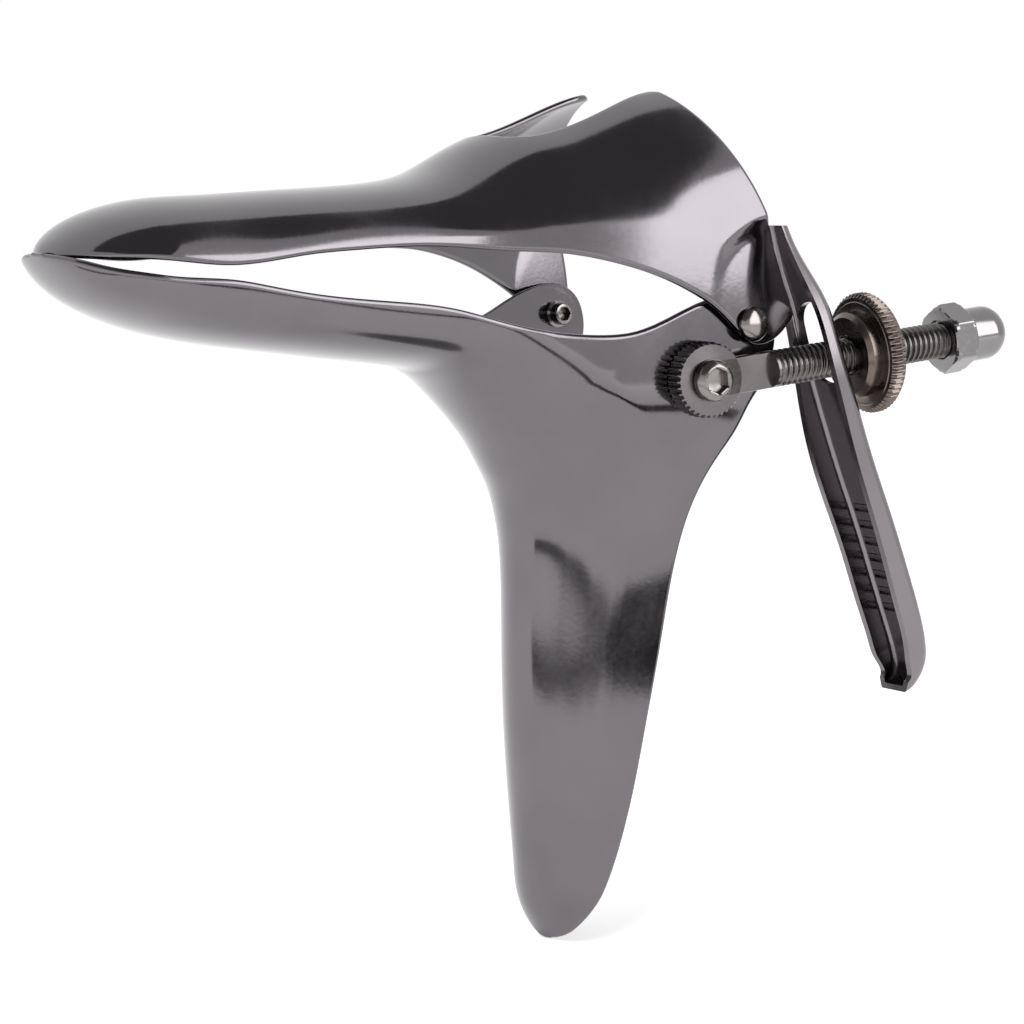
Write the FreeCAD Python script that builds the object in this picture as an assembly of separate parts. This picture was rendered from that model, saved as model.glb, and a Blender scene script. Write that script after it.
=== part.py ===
import FreeCAD, Part
import os
from math import acos, atan2, cos, hypot, pi, radians, sin, tan

os.makedirs("parts", exist_ok=True)

V = FreeCAD.Vector

# Frame
# Millimetres. The origin is the middle of the hinge axis, which runs along Y.
# The blades point to -X, the mouth opens to +X, the handle hangs to -Z.
# The screw side with the thumb lever is -Y.

# Sheet and hinge
sheet = 1.1
lower_ear_half = 26.0
ear_gap = 0.3
upper_ear_half = lower_ear_half + ear_gap + sheet

# Spans across each half of a section
half_spans = 18

# Half size of the blocks that trim the pieces
block = 130.0

# Blades
blade_half = 16.4
tip_x = -111.0
tip_round = 13.0

# Screw rod with its knurled eye
flare = radians(8.5)
rod_rise = radians(6.8)
eye_x = -9.1
eye_z = -8.4
rod_dia = 5.9
eye_dia = 12.0
eye_thick = 4.0
eye_gap = 0.15
tongue_radius = 11.4
flat_above_axis = 0.9
rod_end_along = 50.0
knurl_teeth = 36
knurl_depth = 0.45

# Thumb nut
nut_front_along = 26.0
boss_dia = 13.9
boss_len = 2.4
wheel_dia = 19.5
wheel_thick = 2.9
wheel_teeth = 60
wheel_knurl = 0.5
wheel_edge = 1.0
nut_chamfer = 0.7
nut_radial_play = 0.06

# Cap nut
cap_front_along = 44.2
hex_across = 10.0
hex_len = 4.3
dome_dia = 8.8
cap_len = 12.2

# Hinge screws
barrel_dia = 3.0
barrel_head_dia = 5.6
barrel_head_height = 1.7
inner_head_dia = 4.7
inner_head_height = 2.4
inner_socket = 2.3
screw_dia = 2.0
screw_grip = 2.5
pin_play = 0.05
face_play = 0.08
thread_play = 0.02

# Eye screw
eye_screw_head = 6.6
eye_screw_height = 2.2
eye_screw_socket = 3.6
eye_screw_dia = 4.0
bush_dia = 7.0
bush_thick = 1.5
bush_gap = 0.4

# Thumb lever
lever_far = lower_ear_half + ear_gap
lever_half_out = 36.8
lever_top_width = 4.7
lever_corner = 2.0
lever_top = 15.6
slot_width = 7.3
slot_low = -9.6
slot_high = 3.5
slot_middle = (lever_far + lever_half_out) / 2 - 0.1
rib_count = 7
rib_pitch = 3.1
rib_radius = 0.8
rib_start = -30.5
rib_len = 6.5
rib_sink = 0.25


def through(knots, t):
    """Smooth curve through (t, value) knots: cubic pieces with averaged slopes at the knots."""
    if t <= knots[0][0]:
        return knots[0][1]
    if t >= knots[-1][0]:
        return knots[-1][1]
    k = 0
    while t > knots[k + 1][0]:
        k += 1
    step = [(knots[i + 1][1] - knots[i][1]) / (knots[i + 1][0] - knots[i][0]) for i in range(len(knots) - 1)]

    def slope(i):
        if i == 0:
            return step[0]
        if i == len(knots) - 1:
            return step[-1]
        if step[i - 1] * step[i] <= 0:
            return 0.0
        wide = knots[i + 1][0] - knots[i - 1][0]
        before = (knots[i][0] - knots[i - 1][0]) / wide
        return (1 - before) * step[i - 1] + before * step[i]

    h = knots[k + 1][0] - knots[k][0]
    q = (t - knots[k][0]) / h
    lo, hi = slope(k) * h, slope(k + 1) * h
    a, b = knots[k][1], knots[k + 1][1]
    return a * (1 + 2 * q) * (1 - q) ** 2 + lo * q * (1 - q) ** 2 + b * q * q * (3 - 2 * q) - hi * q * q * (1 - q)


def soft_step(q):
    """Zero below 0, one above 1, a smooth S between."""
    q = min(1.0, max(0.0, q))
    return q * q * (3 - 2 * q)


def spread(profile, shares):
    """Resample a list of points at the given shares of its length."""
    run = [0.0]
    for a, b in zip(profile, profile[1:]):
        run.append(run[-1] + (b - a).Length)
    picked = []
    k = 0
    for share in shares:
        want = run[-1] * share
        while k < len(run) - 2 and run[k + 1] < want:
            k += 1
        q = (want - run[k]) / max(run[k + 1] - run[k], 1e-9)
        picked.append(profile[k] + (profile[k + 1] - profile[k]) * min(1.0, q))
    return picked


def inward(grid, thick):
    """The same grid moved by thick along its own normals, towards the left of the row direction."""
    rows, cols = len(grid), len(grid[0])
    moved = []
    for i in range(rows):
        line = []
        for j in range(cols):
            du = grid[min(i + 1, rows - 1)][j] - grid[max(i - 1, 0)][j]
            dv = grid[i][min(j + 1, cols - 1)] - grid[i][max(j - 1, 0)]
            n = du.cross(dv)
            n.normalize()
            line.append(grid[i][j] + n * thick)
        moved.append(line)
    return moved


def sheet_body(outside, inside):
    """Closed solid between two grids of points, the outside and the inside of a sheet."""
    surfaces = []
    for points in (outside, inside):
        surface = Part.BSplineSurface()
        surface.interpolate(points)
        surfaces.append(surface)
    outer, inner = surfaces
    faces = [outer.toShape(), inner.toShape()]
    u0, u1, v0, v1 = outer.bounds()
    a0, a1, b0, b1 = inner.bounds()
    for one, two in ((outer.uIso(u0), inner.uIso(a0)), (outer.uIso(u1), inner.uIso(a1)),
                     (outer.vIso(v0), inner.vIso(b0)), (outer.vIso(v1), inner.vIso(b1))):
        faces.append(Part.makeRuledSurface(one.toShape(), two.toShape()))
    shell = Part.Shell(faces)
    shell.sewShape()
    solid = Part.Solid(shell)
    if solid.Volume < 0:
        solid.reverse()
    return solid


def cap_round(distance, radius):
    """Factor from 1 down to 0 that rounds an end over the last stretch of length radius."""
    q = min(1.0, max(0.0, 1 - distance / radius))
    return max(0.0, 1 - q * q) ** 0.5


def trough_row(x, z, ux, uz, arc, length, half_at, tip):
    """One section: a half ellipse from the spine to depth arc, then straight legs to the given length."""
    steps = 60
    half = []
    top = acos(max(-1.0, 1 - length / arc)) if length < arc else pi / 2
    for i in range(steps + 1):
        turn = top * i / steps
        q = arc * (1 - cos(turn))
        px, pz = x + ux * q, z + uz * q
        half.append(V(px, sin(turn) * half_at(px, pz) * tip, pz))
    if length > arc:
        for i in range(1, steps + 1):
            q = arc + (length - arc) * i / steps
            px, pz = x + ux * q, z + uz * q
            half.append(V(px, half_at(px, pz) * tip, pz))
    half = spread(half, [i / half_spans for i in range(half_spans + 1)])
    return [V(p.x, -p.y, p.z) for p in reversed(half[1:])] + half


# Lower valve
# Spine of the outer face from blade tip to handle tip: x, z, direction of the legs in degrees, arc depth.
lower_spine = [
    (-110.8, 10.4, 90, 0.9, 1.6), (-109.0, 8.5, 90, 2.3, 3.0), (-105.7, 5.4, 90, 4.9, 5.5),
    (-101, 2.6, 90, 7.2, 7.6), (-94, 0.1, 90, 9.0, 9.3), (-84, -1.9, 90, 10.2, 10.4),
    (-72, -3.5, 90, 9.8, 10.2), (-60, -5.0, 90, 9.6, 10.2), (-50, -6.3, 88, 9.8, 10.6),
    (-46, -7.6, 77, 10.5, 12.5), (-43, -9.4, 62, 11.5, 17), (-40, -11.8, 49, 12.5, 26),
    (-37, -14.8, 38, 14, 37), (-34.2, -18, 31, 15, 47), (-32, -21, 26, 15.5, 46),
    (-30, -24.5, 20, 15, 40), (-28, -28.5, 12, 14, 32), (-26.9, -33, 4, 12.8, 26.7),
    (-26.4, -38.5, 0, 12.0, 23.7), (-26.4, -50, -4, 11, 21), (-26.0, -66, -6, 9.2, 17.9),
    (-24.9, -82, -7, 7.6, 13.8), (-23.8, -91, -8, 6, 10), (-22.6, -97, -10, 3.8, 5.9),
    (-21.2, -100.6, -15, 1.7, 2.7), (-20.8, -102, -20, 0.9, 1.2)]

lower_edge = [
    (-112.7, 10.95), (-110, 10.3), (-102.4, 9.4), (-95.5, 8.6), (-87.3, 8.1), (-80.4, 6.9),
    (-72.4, 5.6), (-61, 4.5), (-49.6, 3.1), (-40.5, 0.7), (-32.6, -0.8), (-25, -1.4), (-20, -1.1),
    (-14.8, 0.5), (-8.8, 3.1), (-4, 4.5), (0.5, 4.9), (2.9, 4.2), (4.8, 2.6), (5.9, 0.2),
    (6.2, -2.6), (5.2, -6.3), (3.6, -9.3), (1.8, -12), (0, -17), (-1.8, -21), (-4.5, -30),
    (-5.5, -38.6), (-7, -52), (-9.1, -65), (-12.6, -85), (-15.4, -93), (-18.6, -99), (-20.1, -102)]

lower_half_x = [
    (-99.8, blade_half), (-80, blade_half + 0.1), (-60, blade_half + 0.5), (-50, blade_half + 1.0),
    (-40, lower_ear_half - 7.2), (-30, lower_ear_half - 5.1), (-22, lower_ear_half - 3.2),
    (-16, lower_ear_half - 14 * tan(flare)), (-3, lower_ear_half - tan(flare)), (-0.5, lower_ear_half)]

lower_half_z = [
    (-102, 0.40), (-85, 0.44), (-75, 0.48), (-65, 0.515), (-55, 0.54), (-46, 0.565), (-38, 0.615),
    (-32, 0.68), (-26, 0.765), (-20, 0.87), (-15, 0.955), (-11, 1.0)]

handle_tip_z = -102.3
handle_round = 10.3


def lower_half(x, z):
    """Half width of the lower valve at a place in the side view."""
    return through(lower_half_x, x) * through(lower_half_z, z)


def side_prism(outline, corners, low, high):
    """Block between y = low and y = high under a side outline: a smooth curve closed by straight lines."""
    curve = Part.BSplineCurve()
    curve.interpolate([V(x, low, z) for x, z in outline])
    ends = [outline[-1]] + corners + [outline[0]]
    lines = [Part.makeLine(V(ax, low, az), V(bx, low, bz)) for (ax, az), (bx, bz) in zip(ends, ends[1:])]
    face = Part.Face(Part.Wire([curve.toShape()] + lines))
    return face.extrude(V(0, high - low, 0))


def hinge_bore():
    """Cylinder along the hinge axis that drills both ears."""
    return Part.makeCylinder(barrel_dia / 2 + pin_play, 2 * block, V(0, -block, 0), V(0, 1, 0))


def lower_valve_body():
    grid = []
    for x, z, lean, arc, length in lower_spine:
        ux, uz = cos(radians(lean)), sin(radians(lean))
        tip = cap_round(x - tip_x, tip_round) * cap_round(z - handle_tip_z, handle_round)
        grid.append(trough_row(x, z, ux, uz, arc, length, lower_half, tip))
    corners = [(block, lower_edge[-1][1]), (block, block), (-block, block), (-block, lower_edge[0][1])]
    above = side_prism(lower_edge, corners, -block, block)
    body = sheet_body(grid, inward(grid, sheet)).cut(above).cut(hinge_bore())
    screw_hole = Part.makeCylinder(eye_screw_dia / 2 + pin_play, eye_dia, V(0, 0, -eye_dia / 2))
    screw_hole.Placement = eye_place()
    return body.cut(screw_hole)


# Upper valve
# Spine of the outer face from blade tip to mouth: x, z, lean of the section plane, arc depth, leg length.
mouth_lean = 21.4
upper_spine = [
    (-110.8, 12.1, 0, 0.9, 1.6), (-109.0, 13.6, 0, 2.4, 3.2), (-105.7, 16.1, 0, 4.6, 5.7),
    (-101, 18.2, 0, 7, 7.8), (-94, 19.8, 0, 8.9, 9.8), (-84, 20.4, 0, 9.7, 10.8), (-72, 21.1, 0, 9.3, 10.2),
    (-60, 21.8, 0, 9.2, 10.2), (-50, 22.9, 0, 9.9, 11.5), (-43, 25, 1, 12, 14.5), (-37, 28, 3, 14.6, 18.5),
    (-31, 30.6, 6, 17, 23), (-25, 32.3, 9, 18.8, 27), (-19, 34.4, 12.5, 21, 32), (-13.6, 36.5, 16.5, 24, 37),
    (-9.5, 37.8, 19.5, 26, 40), (-6.1, 38.6, mouth_lean, 27, 44)]

upper_edge = [
    (-112.7, 11.6), (-108.2, 11.35), (-102.4, 11.5), (-95.4, 11.0), (-88.3, 10.4), (-83.1, 10.7),
    (-75, 11.8), (-66.7, 12.4), (-55.3, 12.8), (-40.5, 11.9), (-32.6, 11.5), (-25.1, 10.2),
    (-17.6, 8.0), (-11.1, 5.1), (-5.3, 1.55), (-1.7, -1.5), (1.3, -3.2), (4.2, -2.8), (7.1, -0.8), (8.7, 1.6)]

upper_half_x = [
    (-99.8, blade_half), (-84, blade_half + 0.2), (-60, blade_half + 0.6), (-50, blade_half + 1.4),
    (-40, upper_ear_half - 7.8), (-30, upper_ear_half - 5.2), (-22, upper_ear_half - 3.0),
    (-14, upper_ear_half - 1.0), (-7, upper_ear_half + 0.2), (-2, upper_ear_half + 0.8), (5, upper_ear_half + 1.1)]

leaf_x, leaf_z, leaf_radius, leaf_blend = 4.5, 3.5, 16.0, 9.0

# Far ear: narrower than the near one, which carries the lever
far_back = [(9.0, -4), (3.6, -4), (3.5, 0), (3.3, 4), (2.4, 9.7), (1.4, 15), (0.6, 19.6), (0.4, 23), (9, 23)]

# Notch in the rim, in plan; it is cut from notch_low upwards
notch_front = -32.2
notch_low = 20.0
notch_outline = [(8, -10.4), (-5.5, -9.6), (-14, -8.6), (-22, -6.8), (-28, -4.4), (-31.2, -2.2)]


def upper_half(x, z):
    """Half width of the upper valve; its pressed ears are flat round the hinge."""
    flat = soft_step((leaf_radius - hypot(x - leaf_x, z - leaf_z)) / leaf_blend)
    return through(upper_half_x, x) * (1 - flat) + upper_ear_half * flat


def mouth_x(z):
    """Where the mouth plane stands at height z."""
    x, top = upper_spine[-1][0], upper_spine[-1][1]
    return x + (top - z) * tan(radians(mouth_lean))


def upper_side(low_y, high_y):
    """Block over the upper valve's side outline, up to its mouth plane."""
    low = upper_edge[-1][1]
    seam = 0.02
    corners = [(mouth_x(low) + seam, low), (mouth_x(block) + seam, block), (-block, block),
               (-block, upper_edge[0][1])]
    return side_prism(upper_edge, corners, low_y, high_y)


def upper_valve_body():
    grid = []
    for x, z, lean, arc, length in upper_spine:
        ux, uz = sin(radians(lean)), -cos(radians(lean))
        tip = cap_round(x - tip_x, tip_round)
        grid.append(trough_row(x, z, ux, uz, arc, length, upper_half, tip))
    body = sheet_body(grid, inward(grid, -sheet))
    corners = [(block, upper_edge[-1][1]), (block, -block), (-block, -block), (-block, upper_edge[0][1])]
    body = body.cut(side_prism(upper_edge, corners, -block, block)).cut(hinge_bore())
    side = [V(x, blade_half / 2, z) for x, z in far_back]
    body = body.cut(Part.Face(Part.makePolygon(side + side[:1])).extrude(V(0, block, 0)))
    curve = Part.BSplineCurve()
    near = [V(x, y, notch_low) for x, y in notch_outline]
    far = [V(p.x, -p.y, p.z) for p in reversed(near)]
    curve.interpolate(near + [V(notch_front, 0, 20)] + far)
    mouth = Part.Face(Part.Wire([curve.toShape(), Part.makeLine(far[-1], near[0])]))
    return body.cut(mouth.extrude(V(0, 0, block)))


def save(shape, name):
    shape.exportStep("parts/" + name + ".step")
    box = shape.BoundBox
    print(name, shape.isValid(), len(shape.Solids), round(shape.Volume, 1), box)


# Hinge screws: a domed barrel outside each ear and a socket screw inside it
def barrel(side):
    """Domed head with its hollow barrel, turned about the hinge axis; side is -1 near or 1 far."""
    face = upper_ear_half + face_play
    rim = 0.5
    crown = V(0, face + barrel_head_height, 0)
    base = V(barrel_head_dia / 2, face, 0)
    edge = V(barrel_head_dia / 2, face + rim, 0)
    over = V(barrel_head_dia * 0.36, face + rim + (barrel_head_height - rim) * 0.72, 0)
    inner = lower_ear_half - sheet + face_play
    skin = barrel_dia / 2
    bore = screw_dia / 2 + face_play
    corners = [base, V(skin, face, 0), V(skin, inner, 0), V(bore, inner, 0), V(bore, face, 0), V(0, face, 0), crown]
    lines = [Part.makeLine(a, b) for a, b in zip(corners, corners[1:])]
    lines += [Part.Arc(crown, over, edge).toShape(), Part.makeLine(edge, base)]
    body = Part.Face(Part.Wire(lines)).revolve(V(0, 0, 0), V(0, 1, 0), 360)
    return body if side > 0 else body.mirror(V(0, 0, 0), V(0, 1, 0))


def socket_prism(across, depth):
    """Hexagonal hole, depth long, along +Z from the origin."""
    points = [V(across / 2 / cos(pi / 6) * cos(k * pi / 3), across / 2 / cos(pi / 6) * sin(k * pi / 3), 0)
              for k in range(7)]
    return Part.Face(Part.makePolygon(points)).extrude(V(0, 0, depth))


def inner_screw(side):
    """Socket screw driven into the barrel from inside the ear."""
    seat = lower_ear_half - sheet - face_play
    head = Part.makeCylinder(inner_head_dia / 2, inner_head_height, V(0, 0, 0))
    head = head.makeChamfer(0.3, [head.Edges[0], head.Edges[2]])
    head = head.cut(socket_prism(inner_socket, 1.4))
    shank = Part.makeCylinder(screw_dia / 2, screw_grip, V(0, 0, inner_head_height))
    body = head.fuse(shank)
    body.rotate(V(0, 0, 0), V(1, 0, 0), -90)
    body.translate(V(0, seat - inner_head_height, 0))
    return body if side > 0 else body.mirror(V(0, 0, 0), V(0, 1, 0))


# Eye frame: its Z points out of the near wall, its X along the rod
def eye_place(along=0.0, out=0.0):
    """Placement on the near wall at the eye, moved along the rod and out from the wall."""
    axis_x = V(cos(flare) * cos(rod_rise), -sin(flare) * cos(rod_rise), sin(rod_rise))
    axis_z = V(-sin(flare), -cos(flare), 0)
    axis_y = axis_z.cross(axis_x)
    wall = lower_half(eye_x, eye_z)
    base = V(eye_x, -wall, eye_z) + axis_x * along + axis_z * out
    return FreeCAD.Placement(FreeCAD.Matrix(
        axis_x.x, axis_y.x, axis_z.x, base.x, axis_x.y, axis_y.y, axis_z.y, base.y,
        axis_x.z, axis_y.z, axis_z.z, base.z, 0, 0, 0, 1))


rod_out = eye_gap + eye_thick - flat_above_axis


def toothed(radius, depth, teeth, length):
    """Straight knurl: a star outline of low teeth, pulled along +Z."""
    points = []
    for k in range(2 * teeth):
        r = radius if k % 2 else radius - depth
        points.append(V(r * cos(k * pi / teeth), r * sin(k * pi / teeth), 0))
    return Part.Face(Part.makePolygon(points + points[:1])).extrude(V(0, 0, length))


def along_rod(shape):
    """Turn a shape made along +Z to lie along the rod axis."""
    shape.rotate(V(0, 0, 0), V(0, 1, 0), 90)
    shape.translate(V(0, 0, rod_out))
    return shape


def threaded_rod_body():
    """Rod and knurled eye in one piece; the spot face of the eye runs out in the rod as a round tongue."""
    rod = along_rod(Part.makeCylinder(rod_dia / 2, rod_end_along, V(0, 0, 0)))
    over = Part.makeCylinder(tongue_radius, rod_dia, V(0, 0, eye_gap + eye_thick))
    disc = toothed(eye_dia / 2, knurl_depth, knurl_teeth, eye_thick)
    disc.translate(V(0, 0, eye_gap))
    body = rod.fuse(disc).cut(over)
    below = Part.makeCylinder(eye_dia, eye_gap + rod_dia, V(0, 0, -rod_dia))
    body = body.cut(below)
    body = body.cut(Part.makeCylinder(eye_screw_dia / 2 + pin_play, eye_dia, V(0, 0, -eye_dia / 2)))
    body.Placement = eye_place()
    return body


def eye_screw_body():
    """Flanged round head with a hexagon socket, its shank through the eye and the wall."""
    head = Part.makeCylinder(eye_screw_head / 2, eye_screw_height)
    head = head.makeFillet(eye_screw_height * 0.6, [head.Edges[0]])
    floor = eye_screw_height * 0.27
    head = head.cut(socket_prism(eye_screw_socket, eye_screw_height).translated(V(0, 0, floor)))
    seat = eye_gap + eye_thick + face_play
    head.translate(V(0, 0, seat))
    reach_in = sheet + bush_gap + bush_thick
    shank = Part.makeCylinder(eye_screw_dia / 2, seat + floor + reach_in, V(0, 0, -reach_in))
    body = head.fuse(shank)
    body.Placement = eye_place()
    return body


def eye_bush_body():
    """Round nut of the eye screw on the inside of the wall."""
    body = Part.makeCylinder(bush_dia / 2, bush_thick, V(0, 0, -sheet - bush_gap - bush_thick))
    body = body.makeChamfer(0.3, [body.Edges[2]])
    body = body.cut(Part.makeCylinder(eye_screw_dia / 2 + thread_play, eye_dia, V(0, 0, -eye_dia)))
    body.Placement = eye_place()
    return body


def thumb_nut_body():
    """Knurled wheel and plain boss turned in one piece; the boss has a bright chamfer."""
    boss = Part.makeCylinder(boss_dia / 2, boss_len)
    boss = boss.makeChamfer(nut_chamfer, [boss.Edges[2]])
    wheel = toothed(wheel_dia / 2, wheel_knurl, wheel_teeth, wheel_thick)
    low, high = wheel_dia / 2 - nut_chamfer, wheel_dia / 2 + wheel_edge - nut_chamfer
    limit = Part.makeCone(low, high, wheel_edge)
    limit = limit.fuse(Part.makeCylinder(high, wheel_thick - 2 * wheel_edge, V(0, 0, wheel_edge)))
    limit = limit.fuse(Part.makeCone(high, low, wheel_edge, V(0, 0, wheel_thick - wheel_edge)))
    wheel = wheel.common(limit)
    wheel.translate(V(0, 0, boss_len))
    body = boss.fuse(wheel)
    body = body.cut(Part.makeCylinder(rod_dia / 2 + nut_radial_play, boss_len + wheel_thick))
    body = along_rod(body)
    body.Placement = eye_place(nut_front_along).multiply(body.Placement)
    return body


def cap_nut_body():
    """Hexagon nut with both ends chamfered and a domed cap over the rod end."""
    prism = socket_prism(hex_across, hex_len)
    corner = hex_across / 2 / cos(pi / 6)
    blank = Part.makeCylinder(corner, hex_len)
    blank = blank.makeChamfer(corner - hex_across / 2 + 0.15, [blank.Edges[0], blank.Edges[2]])
    hexagon = prism.common(blank)
    crown_low = cap_len - dome_dia * 0.42
    dome = Part.makeCylinder(dome_dia / 2, crown_low)
    arc = Part.Arc(V(dome_dia / 2, 0, crown_low), V(dome_dia * 0.36, 0, crown_low + dome_dia * 0.3), V(0, 0, cap_len))
    wire = Part.Wire([arc.toShape(), Part.makeLine(V(0, 0, cap_len), V(0, 0, crown_low)),
                      Part.makeLine(V(0, 0, crown_low), V(dome_dia / 2, 0, crown_low))])
    crown = Part.Face(wire).revolve(V(0, 0, 0), V(0, 0, 1), 360)
    body = hexagon.fuse(dome).fuse(crown)
    hidden = rod_end_along - cap_front_along + ear_gap
    body = body.cut(Part.makeCylinder(rod_dia / 2 + thread_play, hidden))
    body = along_rod(body)
    body.Placement = eye_place(cap_front_along).multiply(body.Placement)
    return body


# Thumb lever
# Outer line of the web from the rim to the lower end: x, z, far wall depth, near wall depth.
lever_line = [
    (4.0, 18.0, 1.9, 2.0), (6.0, 12.4, 2.2, 2.4), (7.4, 8.6, 2.4, 2.9), (9.8, 3.0, 2.7, 3.3), (12.4, -5, 3.2, 3.5),
    (14.4, -10.4, 4.0, 3.7), (17.0, -17, 4.9, 4.0), (20.9, -26.2, 5.2, 4.3), (25.2, -36, 5.0, 4.7),
    (29.0, -45.5, 5.0, 5.0), (31.2, -51.5, 5.0, 4.9), (32.1, -55.4, 4.8, 4.7), (31.8, -58.2, 4.0, 4.0),
    (30.6, -60.2, 3.0, 3.0), (29.0, -61.1, 2.0, 2.0)]
# Its near side in the front view, from the bottom up: z, share of the way in from the widest place to the top.
lever_near = [
    (-62.5, 0.483), (-59.6, 0.328), (-55, 0.121), (-48, 0.017), (-36, 0), (-18, 0), (-5, 0.017), (3.0, 0.172),
    (8.6, 0.517), (12.4, 0.81), (lever_top, 1), (18.5, 1)]
lever_far_turn = -45
lever_block_depth = 15.0


def lever_depth(row, depth):
    """The lever's outer line moved square to itself into the channel by each station's depth."""
    moved = []
    last = len(row) - 1
    for i, (x, z) in enumerate(row):
        before, after = row[max(i - 1, 0)], row[min(i + 1, last)]
        dx, dz = after[0] - before[0], after[1] - before[1]
        size = hypot(dx, dz)
        moved.append((x + dz / size * depth[i], z - dx / size * depth[i]))
    return moved


def lever_section(x, z, inset):
    """Level outline of the channel's full block at height z: web to the +X side, both edges rounded."""
    narrow = through(lever_near, z) * (lever_half_out - lever_far - lever_top_width)
    near = lever_half_out - narrow - inset
    far = lever_far + inset
    if z < lever_far_turn:
        far += lever_half_out - inset - near
    c = lever_corner - inset
    back = x - lever_block_depth
    bow = c * (1 - cos(pi / 4))
    corners = [V(back, -far, z), V(x - c, -far, z), V(x, -far - c, z), V(x, c - near, z), V(x - c, -near, z),
               V(back, -near, z)]
    edges = [Part.makeLine(corners[0], corners[1]),
             Part.Arc(corners[1], V(x - bow, -far - bow, z), corners[2]).toShape(),
             Part.makeLine(corners[2], corners[3]),
             Part.Arc(corners[3], V(x - bow, bow - near, z), corners[4]).toShape(),
             Part.makeLine(corners[4], corners[5]),
             Part.makeLine(corners[5], corners[0])]
    return Part.Wire(edges)


def lever_block(inset):
    """The lever as a full block, moved in by inset on its outside."""
    line = lever_depth([(row[0], row[1]) for row in lever_line], [inset] * len(lever_line))
    return Part.makeLoft([lever_section(x, z, inset) for x, z in line], True, False)


def beyond(column, low, high):
    """What lies past the free edge of one wall, between y = low and y = high."""
    edge = lever_depth([(row[0], row[1]) for row in lever_line], [row[column] for row in lever_line])
    return side_prism(edge, [(edge[-1][0], -block), (-block, -block), (-block, edge[0][1])], low, high)


def thumb_lever_body():
    """Pressed channel: the full block less its inside, trimmed to the rim, slotted and ribbed."""
    body = lever_block(0.0).cut(lever_block(sheet))
    body = body.cut(beyond(2, -slot_middle, 0)).cut(beyond(3, -block, -slot_middle))
    top = Part.makeBox(2 * block, 2 * block, block, V(-block, -block, lever_top))
    body = body.cut(upper_side(-upper_ear_half - 2 * sheet, 0)).cut(top)
    ends = (slot_low + slot_width / 2, slot_high - slot_width / 2)
    slot = Part.makeBox(block, slot_width, ends[1] - ends[0], V(0, -slot_middle - slot_width / 2, ends[0]))
    for z in ends:
        slot = slot.fuse(Part.makeCylinder(slot_width / 2, block, V(0, -slot_middle, z), V(1, 0, 0)))
    body = body.cut(slot)
    slope = atan2(lever_line[8][0] - lever_line[7][0], lever_line[7][1] - lever_line[8][1])
    start = -slot_middle + rib_len / 2
    for k in range(rib_count):
        drop = rib_start - k * rib_pitch * cos(slope)
        x = through([(row[1], row[0]) for row in reversed(lever_line[:11])], drop) - rib_sink
        rib = Part.makeCylinder(rib_radius, rib_len, V(x, start, drop), V(0, -1, 0))
        groove = Part.makeCylinder(rib_radius, rib_len, V(x - sheet, start, drop), V(0, -1, 0))
        body = body.fuse(rib).cut(groove)
    return body


save(lower_valve_body(), "lower_valve")
save(upper_valve_body(), "upper_valve")
save(thumb_lever_body(), "thumb_lever")
for side, word in ((-1, "near"), (1, "far")):
    save(barrel(side), word + "_hinge_barrel")
    save(inner_screw(side), word + "_hinge_screw")
save(threaded_rod_body(), "threaded_rod")
save(eye_screw_body(), "eye_screw")
save(eye_bush_body(), "eye_bush")
save(thumb_nut_body(), "thumb_nut")
save(cap_nut_body(), "cap_nut")
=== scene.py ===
"""A two-blade speculum of darkened, polished steel, standing on its handle on a white floor."""

import bmesh
import bpy
import numpy as np
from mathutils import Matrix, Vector


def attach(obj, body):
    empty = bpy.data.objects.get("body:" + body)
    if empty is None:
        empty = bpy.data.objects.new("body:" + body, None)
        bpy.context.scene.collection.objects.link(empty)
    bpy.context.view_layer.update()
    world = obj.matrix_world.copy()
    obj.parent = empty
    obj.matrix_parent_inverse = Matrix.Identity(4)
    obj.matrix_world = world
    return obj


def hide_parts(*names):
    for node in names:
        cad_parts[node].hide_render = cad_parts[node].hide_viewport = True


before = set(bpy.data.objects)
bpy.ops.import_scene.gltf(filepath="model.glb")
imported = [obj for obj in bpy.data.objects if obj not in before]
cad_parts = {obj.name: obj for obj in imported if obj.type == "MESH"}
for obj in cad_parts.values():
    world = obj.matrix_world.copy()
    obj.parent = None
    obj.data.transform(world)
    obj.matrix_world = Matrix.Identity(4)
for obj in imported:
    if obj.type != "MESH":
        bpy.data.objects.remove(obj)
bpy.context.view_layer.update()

# Camera and studio
# The instrument is seen from the screw side, a little from behind the blade tips and from
# slightly above. It stands on a white table, and the steel mirrors the dark room and one softbox.
camera_data = bpy.data.cameras.new("camera")
camera_data.lens = 97.03
camera_data.sensor_width = 36
camera_data.clip_start = 0.01
camera_data.clip_end = 20
camera = bpy.data.objects.new("camera", camera_data)
bpy.context.scene.collection.objects.link(camera)
camera.location = (-0.28555651, -0.36222074, 0.01961219)
towards_camera = Vector((-0.57702726, -0.80896238, 0.11233612))
camera.rotation_mode = "QUATERNION"
camera.rotation_quaternion = towards_camera.to_track_quat("Z", "Y")
bpy.context.scene.camera = camera
bpy.context.scene.view_settings.view_transform = "Standard"

floor_level = -0.1024


def flat_board(name, corners):
    """Flat board through the given corners, in metres."""
    mesh = bpy.data.meshes.new(name)
    mesh.from_pydata([Vector(corner) for corner in corners], [], [tuple(range(len(corners)))])
    board = bpy.data.objects.new(name, mesh)
    bpy.context.scene.collection.objects.link(board)
    return board


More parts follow.
